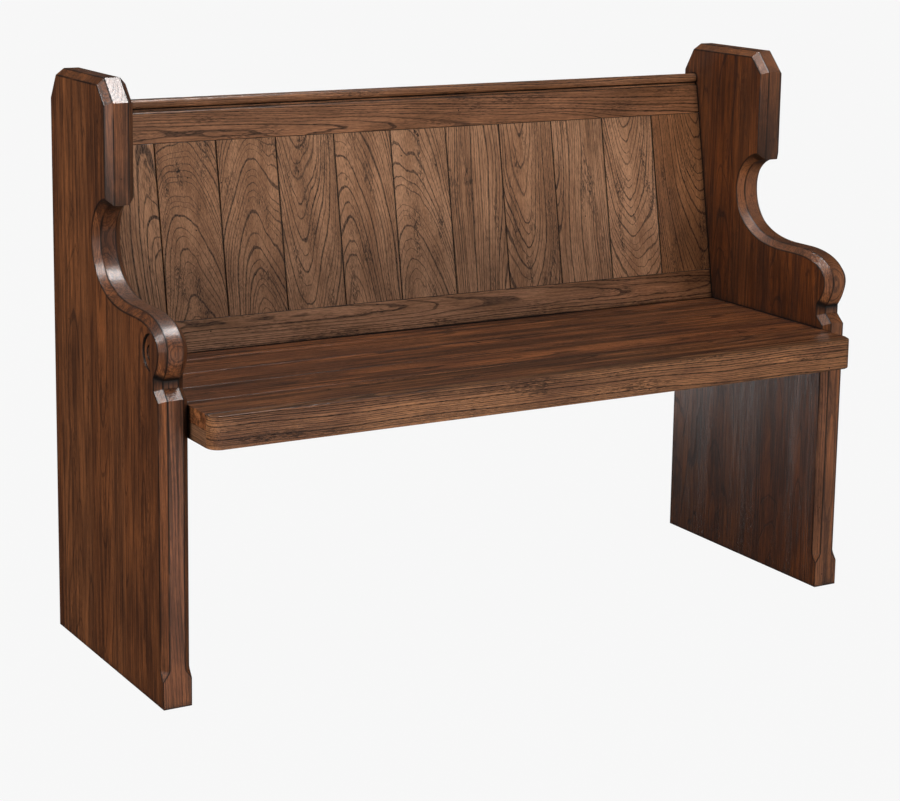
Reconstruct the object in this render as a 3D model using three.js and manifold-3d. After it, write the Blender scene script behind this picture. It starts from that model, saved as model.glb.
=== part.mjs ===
// Church pew: two chamfered end panels, a raked back of matchboards between rails, and a plank seat.
// Millimetres, +Z up, +X along the pew, +Y towards its back.
// Depths run back from the front plane of the legs; the outer group centres the pew on its footprint.
import * as THREE from 'three';
import { mergeVertices } from 'three/addons/utils/BufferGeometryUtils.js';
import Module from 'manifold-3d';

const wasm = await Module();
wasm.setup();

// ---- driving dimensions ----
const pewWidth = 1280;
const pewHeight = 920;
const endThickness = 47;
const endDepth = 430;
const seatProjection = 73;
const gap = 0.3;
const overrun = 1;
const roundSegments = 10;
const innerHalf = pewWidth / 2 - endThickness;
const outerHalf = pewWidth / 2;

// end panel outline, as (depth, height)
const chamfer = 11;
const stopTop = 61;
const stopTip = 39;
const stopSteps = 8;
const backSlopeRun = 32;
const backSlopeRise = 49;
const topFrontDepth = 229;
const postDepth = 196;
const postTop = 885;
const postBottom = 730;
const shoulderRadius = 56.5;
const shoulderStart = 75;
const shoulderDrop = 54;
const armTop = 590.5;
const armBackDepth = 128;
const armBackSweep = 75;
const armFrontDepth = 94;
const armFrontSweep = 58;
const noseFront = -1.5;
const noseHeight = 541;
const noseRise = 30;
const noseFall = 17;
const throatDepth = 16.3;
const throatTop = 498;
const throatSweep = [9, 12];
const throatBottom = 486;
const legTop = 471.5;
const curveSteps = 12;

// scroll carved on the outer face of each arm
const scrollDepth = 40;
const scrollHeight = 537;
const scrollRadius = 26.5;
const scrollWidest = 3.4;
const eyeRadius = 9.5;
const eyeWidest = 3;
const scrollReach = 100;
const carvingDeep = 2.2;

// raked back, placed by the foot of its front face
const rakeAngle = THREE.MathUtils.degToRad(10.2);
const backFootDepth = 322.5;
const backFootHeight = 461.5;
const railThickness = 28;
const boardThickness = 20;
const bottomRailTop = 51.5;
const topRailBottom = 338.5;
const topRailTop = 390.5;
const capTop = 411.5;
const capProud = 2;
const capQuirk = 3;
const capNeck = 3;
const capFillet = 1;
const capOverhang = 1;
const capBackRound = 4;
const housingDeep = 8;
const housingFoot = 12;
const boardCount = 11;
const tongueLong = 7;
const tongueThick = 6;
const vJoint = 1.4;

// seat
const seatTop = 460;
const seatThickness = 24.5;
const seatBoardWidths = [81, 81, 86, 85, 76];
const seatArris = 1.2;
const nosingBack = -53;
const nosingHeight = 51;
const nosingCorner = 19;
const bearerThick = 26;
const cleatWide = 32;
const bearerWide = 60;
const bearerOffset = 200;
const rearRailThick = 24;
const rearRailHigh = 72;
const seatUnderside = seatTop - seatThickness;
const seatBack = nosingBack + seatBoardWidths.reduce((sum, width) => sum + width, 0);
const cleatBack = seatBack - rearRailThick;

// countersunk screws
const screwRadius = 2.4;
const headRadius = 4.8;
const headHigh = 3.4;
const screwSides = 12;
const cleatScrewLong = 50;
const cleatScrewShares = [0.14, 0.5, 0.86];
const seatScrewLong = 42;

const pew = new THREE.Group();
pew.position.y = -(endDepth - seatProjection) / 2;
const rakedBack = new THREE.Group();
rakedBack.position.set(0, backFootDepth, backFootHeight);
rakedBack.rotation.x = -rakeAngle;
pew.add(rakedBack);

const finishes = {
  endPanel: { color: 0x5d3d27, roughness: 0.5 },
  backBoard: { color: 0x6e4e38, roughness: 0.55 },
  rail: { color: 0x63432e, roughness: 0.5 },
  seat: { color: 0x5a3a26, roughness: 0.45 },
  hiddenFrame: { color: 0x6b4a33, roughness: 0.7 },
  screw: { color: 0x8a8379, roughness: 0.35, metalness: 1 },
};

function addPiece(parent, name, geometry, finish) {
  const material = new THREE.MeshStandardMaterial(finishes[finish]);
  const piece = new THREE.Mesh(geometry, material);
  piece.name = name;
  parent.add(piece);
  return piece;
}

// ---- solids ----
function toSolid(geometry) {
  const bare = geometry.clone();
  bare.deleteAttribute('normal');
  bare.deleteAttribute('uv');
  const merged = mergeVertices(bare, 1e-4);
  const vertProperties = new Float32Array(merged.attributes.position.array);
  const triVerts = new Uint32Array(merged.index.array);
  return new wasm.Manifold(new wasm.Mesh({ numProp: 3, vertProperties, triVerts }));
}

function toGeometry(solid) {
  const mesh = solid.getMesh();
  const geometry = new THREE.BufferGeometry();
  geometry.setAttribute('position', new THREE.BufferAttribute(mesh.vertProperties, 3));
  geometry.setIndex(new THREE.BufferAttribute(mesh.triVerts, 1));
  geometry.computeVertexNormals();
  return geometry;
}

function cutAway(geometry, cutters) {
  let solid = toSolid(geometry);
  for (const cutter of cutters) {
    solid = solid.subtract(toSolid(cutter));
  }
  return toGeometry(solid);
}

function boxBetween(low, high) {
  const size = high.map((value, i) => value - low[i]);
  const centre = high.map((value, i) => (value + low[i]) / 2);
  return new THREE.BoxGeometry(...size).translate(...centre);
}

// Extrudes a (depth, height) outline along X between two stations.
function extrudeAlongX(shape, fromX, toX) {
  const settings = { depth: toX - fromX, bevelEnabled: false, curveSegments: roundSegments };
  const geometry = new THREE.ExtrudeGeometry(shape, settings);
  const turn = new THREE.Matrix4().makeBasis(
    new THREE.Vector3(0, 1, 0),
    new THREE.Vector3(0, 0, 1),
    new THREE.Vector3(1, 0, 0),
  );
  return geometry.applyMatrix4(turn).translate(fromX, 0, 0);
}

function outline(points) {
  return new THREE.Shape(points.map(([a, b]) => new THREE.Vector2(a, b)));
}

// ---- end panels ----
// The edge that carries the chamfer, from the top's back corner round the front and down to the stop.
// The shoulder's arc starts a little beyond the post's foot, so that both corners stay clean when inset.
function chamferedEdge() {
  const edge = new THREE.Path();
  edge.moveTo(endDepth - backSlopeRun, pewHeight);
  edge.lineTo(topFrontDepth, pewHeight);
  edge.lineTo(postDepth, postTop);
  edge.lineTo(postDepth, postBottom);
  const shoulderHeight = postBottom - shoulderRadius;
  const shoulderDepth = postDepth + shoulderRadius;
  const shoulderTurn = THREE.MathUtils.degToRad(shoulderStart);
  edge.absarc(postDepth, shoulderHeight, shoulderRadius, shoulderTurn, 0, true);
  edge.bezierCurveTo(
    shoulderDepth, shoulderHeight - shoulderDrop,
    armBackDepth + armBackSweep, armTop,
    armBackDepth, armTop,
  );
  edge.lineTo(armFrontDepth, armTop);
  edge.bezierCurveTo(
    armFrontDepth - armFrontSweep, armTop,
    noseFront, noseHeight + noseRise,
    noseFront, noseHeight,
  );
  edge.bezierCurveTo(
    noseFront, noseHeight - noseFall,
    throatDepth - throatSweep[0], throatTop + throatSweep[1],
    throatDepth, throatTop,
  );
  edge.lineTo(throatDepth, throatBottom);
  edge.lineTo(0, legTop);
  edge.lineTo(0, stopTop);
  return edge.getPoints(curveSteps);
}

// Every point of the panel's outline, anticlockwise, with the share of the chamfer that it carries.
function panelOutline() {
  const points = chamferedEdge().map((point) => ({ point, share: 1 }));
  for (let step = 1; step <= stopSteps; step += 1) {
    const along = step / stopSteps;
    const height = THREE.MathUtils.lerp(stopTop, stopTip, along);
    const share = 1 - THREE.MathUtils.smoothstep(along, 0, 1);
    points.push({ point: new THREE.Vector2(0, height), share });
  }
  for (const [depth, height] of [[0, 0], [endDepth, 0], [endDepth, pewHeight - backSlopeRise]]) {
    points.push({ point: new THREE.Vector2(depth, height), share: 0 });
  }
  return points;
}

// The way each outline point moves in on the panel's faces: the mitre of the two edges that meet there.
function inwardMitre(points, i) {
  if (i === 0) {
    return new THREE.Vector2(backSlopeRun / backSlopeRise, -1);
  }
  const before = points[i - 1].point;
  const here = points[i].point;
  const after = points[(i + 1) % points.length].point;
  const first = here.clone().sub(before).normalize();
  const second = after.clone().sub(here).normalize();
  const firstNormal = new THREE.Vector2(-first.y, first.x);
  const secondNormal = new THREE.Vector2(-second.y, second.x);
  const scale = 1 / (1 + firstNormal.dot(secondNormal));
  return firstNormal.add(secondNormal).multiplyScalar(scale);
}

// Four rings of the same outline make the panel: outer face, two chamfer edges and inner face.
function chamferedPanel() {
  const points = panelOutline();
  const count = points.length;
  const rings = [[], [], [], []];
  const face = [];
  points.forEach(({ point, share }, i) => {
    const moved = inwardMitre(points, i).multiplyScalar(chamfer * share).add(point);
    face.push(moved);
    rings[0].push([-outerHalf, moved.x, moved.y]);
    rings[1].push([-outerHalf + chamfer * share, point.x, point.y]);
    rings[2].push([-innerHalf - chamfer * share, point.x, point.y]);
    rings[3].push([-innerHalf, moved.x, moved.y]);
  });
  const index = [];
  for (const [a, b, c] of THREE.ShapeUtils.triangulateShape(face, [])) {
    index.push(c, b, a);
    index.push(3 * count + a, 3 * count + b, 3 * count + c);
  }
  for (let ring = 0; ring < 3; ring += 1) {
    for (let i = 0; i < count; i += 1) {
      const low = ring * count + i;
      const lowNext = ring * count + ((i + 1) % count);
      index.push(low, lowNext, lowNext + count);
      index.push(low, lowNext + count, low + count);
    }
  }
  const geometry = new THREE.BufferGeometry();
  geometry.setAttribute('position', new THREE.Float32BufferAttribute(rings.flat(2), 3));
  geometry.setIndex(index);
  return withoutSlivers(geometry);
}

// Merges shared corners and drops the triangles that close up where the chamfer has no width.
function withoutSlivers(geometry) {
  const merged = mergeVertices(geometry, 1e-4);
  const kept = [];
  for (let i = 0; i < merged.index.count; i += 3) {
    const [a, b, c] = [0, 1, 2].map((corner) => merged.index.getX(i + corner));
    if (a !== b && b !== c && c !== a) {
      kept.push(a, b, c);
    }
  }
  merged.setIndex(kept);
  return merged;
}

// A crescent between two circles whose centres are apart: a gouge cut that fades out at both ends.
function crescentCutter(radius, widest) {
  const tipTurn = THREE.MathUtils.degToRad(scrollReach);
  const tip = new THREE.Vector2(Math.cos(tipTurn), Math.sin(tipTurn)).multiplyScalar(radius);
  const bow = radius - widest - tip.x;
  const innerRadius = (tip.y * tip.y + bow * bow) / (2 * bow);
  const innerCentre = radius - widest - innerRadius;
  const innerTurn = Math.atan2(tip.y, tip.x - innerCentre);
  const shape = new THREE.Shape();
  shape.absarc(scrollDepth, scrollHeight, radius, tipTurn, -tipTurn, true);
  shape.absarc(scrollDepth + innerCentre, scrollHeight, innerRadius, -innerTurn, innerTurn, false);
  return extrudeAlongX(shape, -outerHalf - overrun, -outerHalf + carvingDeep);
}

// The trench in the inner face that holds the raked back's rails and boards.
function backHousing() {
  const trench = boxBetween(
    [-innerHalf - housingDeep - gap, -gap, -housingFoot],
    [-innerHalf + overrun, railThickness + gap, topRailTop + gap],
  );
  trench.rotateX(-rakeAngle);
  trench.translate(0, backFootDepth, backFootHeight);
  const belowSeat = boxBetween(
    [-outerHalf, 0, 0],
    [-innerHalf + 2 * overrun, endDepth, seatTop],
  );
  return toGeometry(toSolid(trench).subtract(toSolid(belowSeat)));
}

function cleatScrewPlaces() {
  return cleatScrewShares.map((share) => THREE.MathUtils.lerp(0, cleatBack, share));
}

// Screws run along X from the cleat's inner side into the end panel.
function cleatScrew(depth, grow) {
  const screw = screwGeometry(cleatScrewLong, grow);
  screw.rotateZ(-Math.PI / 2);
  return screw.translate(-innerHalf + cleatWide, depth, seatUnderside - bearerThick / 2);
}

// A countersunk screw with its head flush at the origin and its point along -Y, grown all over for its hole.
function screwGeometry(length, grow) {
  const profile = [
    new THREE.Vector2(0, grow),
    new THREE.Vector2(headRadius + grow, grow),
    new THREE.Vector2(screwRadius + grow, -headHigh),
    new THREE.Vector2(screwRadius + grow, -length + screwRadius * 2),
    new THREE.Vector2(0, -length - grow),
  ];
  return new THREE.LatheGeometry(profile.reverse(), screwSides);
}

function mirrored(geometry) {
  const flipped = geometry.clone().scale(-1, 1, 1);
  const index = Array.from(flipped.index.array);
  for (let i = 0; i < index.length; i += 3) {
    [index[i], index[i + 1]] = [index[i + 1], index[i]];
  }
  flipped.setIndex(index);
  return flipped;
}

function addEndPanels() {
  const cutters = [
    crescentCutter(scrollRadius, scrollWidest),
    crescentCutter(eyeRadius, eyeWidest),
    backHousing(),
    ...cleatScrewPlaces().map((depth) => cleatScrew(depth, gap)),
  ];
  const left = cutAway(chamferedPanel(), cutters);
  addPiece(pew, 'end_panel_left', left, 'endPanel');
  addPiece(pew, 'end_panel_right', mirrored(left), 'endPanel');
}

// ---- raked back: depth runs through the thickness, height runs up the slope ----
// A matchboard's section across its width: groove on the left edge, tongue on the right, V-cut front corners.
function matchboardSection(left, right, groove, tongue) {
  const tongueFront = (boardThickness - tongueThick) / 2;
  const tongueBack = tongueFront + tongueThick;
  const points = [[left + vJoint, 0], [right - vJoint, 0], [right, vJoint]];
  if (tongue) {
    points.push([right, tongueFront], [right + tongueLong, tongueFront]);
    points.push([right + tongueLong, tongueBack], [right, tongueBack]);
  }
  points.push([right, boardThickness], [left, boardThickness]);
  if (groove) {
    const floor = left + tongueLong + 2 * gap;
    points.push([left, tongueBack + gap], [floor, tongueBack + gap]);
    points.push([floor, tongueFront - gap], [left, tongueFront - gap]);
  }
  points.push([left, vJoint]);
  return outline(points);
}

function addBackBoards() {
  const pitch = (2 * innerHalf) / boardCount;
  const low = bottomRailTop - tongueLong;
  const high = topRailBottom + tongueLong;
  const tongueFront = (boardThickness - tongueThick) / 2;
  const reach = innerHalf + housingDeep;
  for (let i = 0; i < boardCount; i += 1) {
    const isFirst = i === 0;
    const isLast = i === boardCount - 1;
    const left = isFirst ? -reach : -innerHalf + i * pitch + gap / 2;
    const right = isLast ? reach : -innerHalf + (i + 1) * pitch - gap / 2;
    const section = matchboardSection(left, right, !isFirst, !isLast);
    const blank = new THREE.ExtrudeGeometry(section, { depth: high - low, bevelEnabled: false });
    blank.translate(0, 0, low);
    const bottom = [low - overrun, bottomRailTop + gap];
    const top = [topRailBottom - gap, high + overrun];
    const front = [-overrun, tongueFront];
    const back = [tongueFront + tongueThick, boardThickness + overrun];
    const rebates = [];
    for (const [from, to] of [bottom, top]) {
      for (const [near, far] of [front, back]) {
        rebates.push(boxBetween([-outerHalf, near, from], [outerHalf, far, to]));
      }
    }
    const name = `back_board_${String(i + 1).padStart(2, '0')}`;
    addPiece(rakedBack, name, cutAway(blank, rebates), 'backBoard');
  }
}

// The slot along a rail that takes the boards' end tongues, opening up or down.
function railSlot(edge, way) {
  const front = (boardThickness - tongueThick) / 2 - gap;
  const floor = edge + way * (tongueLong + 2 * gap);
  const [low, high] = way > 0 ? [edge - overrun, floor] : [floor, edge + overrun];
  return boxBetween([-outerHalf, front, low], [outerHalf, front + tongueThick + 2 * gap, high]);
}

// Height up the slope at which a point of the given thickness-depth stands just above the seat.
function footOnSeat(depth) {
  const rise = seatTop + gap - backFootHeight;
  return (rise + depth * Math.sin(rakeAngle)) / Math.cos(rakeAngle);
}

function addBackRails() {
  const reach = innerHalf + housingDeep;
  const bottomSection = outline([
    [0, footOnSeat(0)],
    [railThickness, footOnSeat(railThickness)],
    [railThickness, bottomRailTop],
    [0, bottomRailTop],
  ]);
  const bottomRail = extrudeAlongX(bottomSection, -reach, reach);
  addPiece(rakedBack, 'back_bottom_rail', cutAway(bottomRail, [railSlot(bottomRailTop, -1)]), 'rail');
  const topSection = outline([
    [0, topRailBottom],
    [railThickness, topRailBottom],
    [railThickness, topRailTop],
    [capQuirk, topRailTop],
    [0, topRailTop - capQuirk],
  ]);
  const topRail = extrudeAlongX(topSection, -reach, reach);
  addPiece(rakedBack, 'back_top_rail', cutAway(topRail, [railSlot(topRailBottom, 1)]), 'rail');
}

// The capping: a rounded bead at the front over a small quirk, with a rounded back corner.
function addBackCap() {
  const low = topRailTop + gap;
  const neckTop = low + capNeck;
  const beadFoot = neckTop + capFillet;
  const bead = (capTop - beadFoot) / 2;
  const back = railThickness + capOverhang;
  const section = new THREE.Shape();
  section.moveTo(capQuirk, low);
  section.lineTo(back, low);
  section.lineTo(back, capTop - capBackRound);
  section.absarc(back - capBackRound, capTop - capBackRound, capBackRound, 0, Math.PI / 2, false);
  section.lineTo(bead - capProud, capTop);
  section.absarc(bead - capProud, capTop - bead, bead, Math.PI / 2, Math.PI * 1.5, false);
  section.lineTo(capQuirk, neckTop);
  const cap = extrudeAlongX(section, -innerHalf + gap, innerHalf - gap);
  addPiece(rakedBack, 'back_cap_rail', cap, 'rail');
}

// ---- seat ----
// A seat board's section across its depth: tongue towards the front, groove towards the back.
function seatBoardSection(front, back, tongue, groove) {
  const tongueTop = -(seatThickness - tongueThick) / 2;
  const tongueBase = tongueTop - tongueThick;
  const points = [[front, -seatArris], [front + seatArris, 0], [back - seatArris, 0], [back, -seatArris]];
  if (groove) {
    const floor = back - tongueLong - 2 * gap;
    points.push([back, tongueTop + gap], [floor, tongueTop + gap]);
    points.push([floor, tongueBase - gap], [back, tongueBase - gap]);
  }
  points.push([back, -seatThickness], [front, -seatThickness]);
  if (tongue) {
    points.push([front, tongueBase], [front - tongueLong, tongueBase]);
    points.push([front - tongueLong, tongueTop], [front, tongueTop]);
  }
  return outline(points.reverse());
}

function seatScrewPlaces() {
  const places = [];
  let front = nosingBack;
  for (const width of seatBoardWidths.slice(0, -1)) {
    places.push(front + width / 2);
    front += width;
  }
  return places;
}

// Screws run up through the bearers into the seat boards.
function seatScrew(across, depth, grow) {
  const screw = screwGeometry(seatScrewLong, grow);
  screw.rotateX(-Math.PI / 2);
  return screw.translate(across, depth, seatUnderside - bearerThick);
}

function seatScrewHoles() {
  const holes = [];
  for (const across of [-bearerOffset, bearerOffset]) {
    for (const depth of seatScrewPlaces()) {
      holes.push(seatScrew(across, depth, gap));
    }
  }
  return holes;
}

function addSeatBoards() {
  const end = innerHalf - gap;
  let front = nosingBack;
  seatBoardWidths.forEach((width, i) => {
    const isLast = i === seatBoardWidths.length - 1;
    const section = seatBoardSection(front + gap / 2, front + width - gap / 2, i > 0, !isLast);
    const board = extrudeAlongX(section, -end, end).translate(0, 0, seatTop);
    addPiece(pew, `seat_board_${i + 1}`, cutAway(board, seatScrewHoles()), 'seat');
    front += width;
  });
}

// The front lipping: a deep strip with both front corners rounded in plan.
function addNosing() {
  const end = innerHalf - gap;
  const front = -seatProjection;
  const back = nosingBack - gap;
  const plan = new THREE.Shape();
  plan.moveTo(-end, back);
  plan.absarc(-end + nosingCorner, front + nosingCorner, nosingCorner, Math.PI, Math.PI * 1.5, false);
  plan.absarc(end - nosingCorner, front + nosingCorner, nosingCorner, Math.PI * 1.5, Math.PI * 2, false);
  plan.lineTo(end, back);
  const settings = { depth: nosingHeight, bevelEnabled: false, curveSegments: roundSegments };
  const nosing = new THREE.ExtrudeGeometry(plan, settings);
  nosing.translate(0, 0, seatTop - nosingHeight);
  addPiece(pew, 'seat_nosing', nosing, 'seat');
}

function addSeatSupports() {
  const top = seatUnderside - gap;
  const base = seatUnderside - bearerThick;
  const front = nosingBack;
  const cleatBlank = boxBetween(
    [-innerHalf + gap, front, base],
    [-innerHalf + cleatWide, cleatBack - gap, top],
  );
  const cleat = cutAway(cleatBlank, cleatScrewPlaces().map((depth) => cleatScrew(depth, gap)));
  addPiece(pew, 'seat_cleat_left', cleat, 'hiddenFrame');
  addPiece(pew, 'seat_cleat_right', mirrored(cleat), 'hiddenFrame');
  for (const [side, centre] of [['left', -bearerOffset], ['right', bearerOffset]]) {
    const half = bearerWide / 2;
    const blank = boxBetween([centre - half, front, base], [centre + half, cleatBack - gap, top]);
    addPiece(pew, `seat_bearer_${side}`, cutAway(blank, seatScrewHoles()), 'hiddenFrame');
  }
  const rearRail = boxBetween(
    [-innerHalf + gap, cleatBack, seatUnderside - rearRailHigh],
    [innerHalf - gap, seatBack, top],
  );
  addPiece(pew, 'seat_rear_rail', rearRail, 'hiddenFrame');
}

function addScrews() {
  cleatScrewPlaces().forEach((depth, i) => {
    const screw = toGeometry(toSolid(cleatScrew(depth, 0)));
    addPiece(pew, `cleat_screw_left_${i + 1}`, screw, 'screw');
    addPiece(pew, `cleat_screw_right_${i + 1}`, mirrored(screw), 'screw');
  });
  for (const [side, across] of [['left', -bearerOffset], ['right', bearerOffset]]) {
    seatScrewPlaces().forEach((depth, i) => {
      addPiece(pew, `seat_screw_${side}_${i + 1}`, seatScrew(across, depth, 0), 'screw');
    });
  }
}

addEndPanels();
addBackRails();
addBackCap();
addBackBoards();
addSeatBoards();
addNosing();
addSeatSupports();
addScrews();

const group = new THREE.Group();
group.add(pew);
export default group;
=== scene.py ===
import math

import bmesh
import bpy
import numpy as np
from mathutils import Matrix, Vector, kdtree


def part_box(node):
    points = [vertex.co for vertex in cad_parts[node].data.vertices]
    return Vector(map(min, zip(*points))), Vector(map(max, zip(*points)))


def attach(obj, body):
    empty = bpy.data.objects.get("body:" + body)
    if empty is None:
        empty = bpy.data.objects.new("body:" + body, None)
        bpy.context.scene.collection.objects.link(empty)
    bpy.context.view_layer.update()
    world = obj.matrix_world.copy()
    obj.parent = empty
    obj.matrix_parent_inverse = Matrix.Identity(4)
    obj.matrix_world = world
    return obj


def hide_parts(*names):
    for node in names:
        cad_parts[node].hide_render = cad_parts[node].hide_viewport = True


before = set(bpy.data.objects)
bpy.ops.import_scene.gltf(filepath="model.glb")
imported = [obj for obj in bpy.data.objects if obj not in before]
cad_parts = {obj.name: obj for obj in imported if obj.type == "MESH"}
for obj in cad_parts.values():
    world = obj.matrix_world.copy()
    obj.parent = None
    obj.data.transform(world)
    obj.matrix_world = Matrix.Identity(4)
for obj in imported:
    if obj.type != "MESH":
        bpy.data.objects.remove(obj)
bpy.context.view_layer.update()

# Metres, +X along the pew, +Y to its back, +Z up. Outlines are drawn in millimetres and scaled by MM.
MM = 0.001
BODY = "root"

# ---- places from the frame ----
left_low, left_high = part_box("end_panel_left")
OUTER_HALF = -left_low.x
INNER_HALF = -left_high.x
END_DEPTH = 430
PEW_HEIGHT = 920
LEG_PLANE = left_high.y - END_DEPTH * MM

# ---- end panels, millimetres: depth from the leg plane, height from the floor ----
CHAMFER = 11
LEAST_CHAMFER = 0.9
EASE = 0.8
ARRIS_FADE = 1.1
FACET_ANGLE = 24
STOP_TOP = 61
STOP_TIP = 39
STOP_STEPS = 16
BACK_SLOPE = (32, 49)
TOP_FRONT = 229
POST_DEPTH = 196
POST_TOP = 885
POST_BOTTOM = 730
SHOULDER_RADIUS = 56.5
ARM_TOP = 590.5
ARM_BACK = 128
ARM_FRONT = 94
NOSE_FRONT = -1.5
NOSE_HEIGHT = 541
THROAT = (16.3, 498, 486)
LEG_TOP = 471.5
CURVE_STEPS = 44

# scroll carved on the outer face
SCROLL = (40, 537)
# each gouge's outer radius, width and depth
SCROLL_GOUGES = ((28.5, 11.0, 5.0), (12.0, 8.5, 4.5))
SCROLL_REACH = 100
GOUGE_STEPS = 48
GOUGE_SKIN = 0.05
GOUGE_LIMIT = 6
# how dark a gouge's walls are: glaze and painted shade
GOUGE_GLAZE_AND_SHADE = 3.5
# where glaze and painted shade darken the hollows: a point, how far it reaches and how dark it is
HOLLOW_GLAZE_AND_SHADE = (((POST_DEPTH + 16, POST_BOTTOM), 46, 1.15), ((THROAT[0], THROAT[1] + 2), 9, 1.5))
# metres
SAME_PLACE = 2e-5

# raked back and its trench
RAKE = math.radians(10.2)
RAIL_THICK = 28
TRENCH_DEEP = 8
TRENCH_FOOT = 12
TRENCH_TOP = 390.5
GAP = 0.3
BACK_FOOT = (322.5, 461.5)

# cap
CAP_PROUD = 2
CAP_QUIRK = 3
CAP_LOW = 390.8
CAP_TOP = 411.5
CAP_LIP = 4
CAP_BACK_PROUD = 1
CAP_BACK_ROUND = 4
CAP_STATIONS = 420

# seat nosing
NOSING_CORNER = 19
CORNER_STEPS = 24
NOSING_STATION = 2.5
NOSING_EASE = 2.4
NOSING_END_EASE = 0.5
KNOCK_REACH = 2.2
# the share of a knock's depth that shows beside the eased arris, and how far it goes in and down
KNOCK_BESIDE = 0.35
KNOCK_IN = 0.75
KNOCK_DOWN = 0.6
EASE_TURNS = np.radians((22.5, 45, 67.5))
EASE_MIDDLE = 0.785

# knocks along an arris: each one's centre, length and depth
NOSING_SEED = 5
CAP_SEED = 9
NOSING_CHIPS = ((-440, 34, 2.2), (-412, 20, 1.6), (318, 26, 2.4))
CAP_CHIPS = ((-420, 30, 1.6), (-385, 14, 1.2))
SMALL_CHIPS = 26

# screws
SCREW_SIDES = 24
SCREW_TURNS = np.linspace(0, 2 * math.pi, SCREW_SIDES + 1)[:-1]
SCREW_PITCH = 2.0
SCREW_TIP = 5
SCREW_CORE = 1.7
SCREW_CREST = 2.4
SCREW_HEAD = 4.8
SCREW_HEAD_HIGH = 3.4
SCREW_PLAIN = 9
SLOT_HALF = 0.45
SLOT_REACH = 2.6
SLOT_DEEP = 2.0


def srgb(red, green, blue):
    """A screen colour, 0 to 255, as linear light with alpha."""
    def linear(value):
        share = value / 255
        return share / 12.92 if share <= 0.04045 else ((share + 0.055) / 1.055) ** 2.4
    return (linear(red), linear(green), linear(blue), 1.0)


# ---- node trees ----
class Tree:
    """Short calls for building one node tree. A value is a number, a tuple or another node's output."""

    def __init__(self, owner):
        owner.use_nodes = True
        self.tree = owner.node_tree
        self.tree.nodes.clear()

    def put(self, socket, value):
        if isinstance(value, bpy.types.NodeSocket):
            self.tree.links.new(value, socket)
        elif value is not None:
            socket.default_value = value

    def node(self, kind, inputs=None, **settings):
        made = self.tree.nodes.new(kind)
        for name, value in settings.items():
            setattr(made, name, value)
        for name, value in (inputs or {}).items():
            self.put(made.inputs[name], value)
        return made

    def calc(self, operation, *values, clamp=False):
        made = self.node("ShaderNodeMath", operation=operation, use_clamp=clamp)
        for i, value in enumerate(values):
            self.put(made.inputs[i], value)
        return made.outputs[0]

    def vector(self, operation, *values):
        made = self.node("ShaderNodeVectorMath", operation=operation)
        for i, value in enumerate(values):
            self.put(made.inputs[i], value)
        return made.outputs[0]

    def split(self, vector):
        return self.node("ShaderNodeSeparateXYZ", {0: vector}).outputs

    def join(self, x, y, z):
        return self.node("ShaderNodeCombineXYZ", {0: x, 1: y, 2: z}).outputs[0]

    def noise(self, vector, size, detail=1.0, roughness=0.5, colour=False):
        """Noise with the given feature size along each axis."""
        scaled = self.vector("DIVIDE", vector, size)
        made = self.node(
            "ShaderNodeTexNoise",
            {"Vector": scaled, "Scale": 1.0, "Detail": detail, "Roughness": roughness},
        )
        return made.outputs["Color" if colour else "Fac"]

    def noise_along(self, value, size):
        scaled = self.calc("DIVIDE", value, size)
        made = self.node(
            "ShaderNodeTexNoise", {"W": scaled, "Scale": 1.0, "Detail": 1.0}, noise_dimensions="1D",
        )
        return made.outputs["Fac"]

    def chance(self, value, colour=False):
        made = self.node("ShaderNodeTexWhiteNoise", {"W": value}, noise_dimensions="1D")
        return made.outputs["Color" if colour else "Value"]

    def span(self, value, low, high, to_low=0.0, to_high=1.0, smooth=False):
        kind = "SMOOTHSTEP" if smooth else "LINEAR"
        made = self.node(
            "ShaderNodeMapRange",
            {"Value": value, "From Min": low, "From Max": high, "To Min": to_low, "To Max": to_high},
            interpolation_type=kind,
        )
        return made.outputs[0]

    def mix(self, share, first, second):
        made = self.node("ShaderNodeMix", data_type="RGBA")
        self.put(made.inputs[0], share)
        self.put(made.inputs[6], first)
        self.put(made.inputs[7], second)
        return made.outputs[2]

    def attribute(self, name):
        return self.node("ShaderNodeAttribute", attribute_name=name).outputs


# ---- oak: sizes in millimetres, along, across and through the grain ----
STRIP_WANDER = 11.0
STRIP_WANDER_SIZE = 23.0
LOG_LENGTH = 1700.0
LOG_SLOPE = 0.07
PITH_DEPTH = 12.0
PITH_DEPTH_RANGE = 55.0
RIPPLE_SIZE = (52, 11, 11)
PORE_SIZE = (10, 1.0, 1.0)
COARSE_PORE_SIZE = (13, 1.5, 1.5)
POROUS_SIZE = (120, 20, 20)
FIBRE_SIZE = (70, 1.5, 1.5)
BLOTCH_SIZE = (150, 34, 34)
SPECKLE_SIZE = (16, 5, 5)
WEAR_SIZE = (60, 20, 20)
WAVE_SIZE = (120, 26, 26)
KNOT_SPACING = (46, 38, 38)
# metres
RECESS_REACH = 0.018
CRACK_REACH = 0.0035
FINE_RELIEF = 0.0004
BROAD_RELIEF = 0.0016
# a piece whose tone is above this has few streaks
STREAKED_TONE = (0.95, 1.2)


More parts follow.
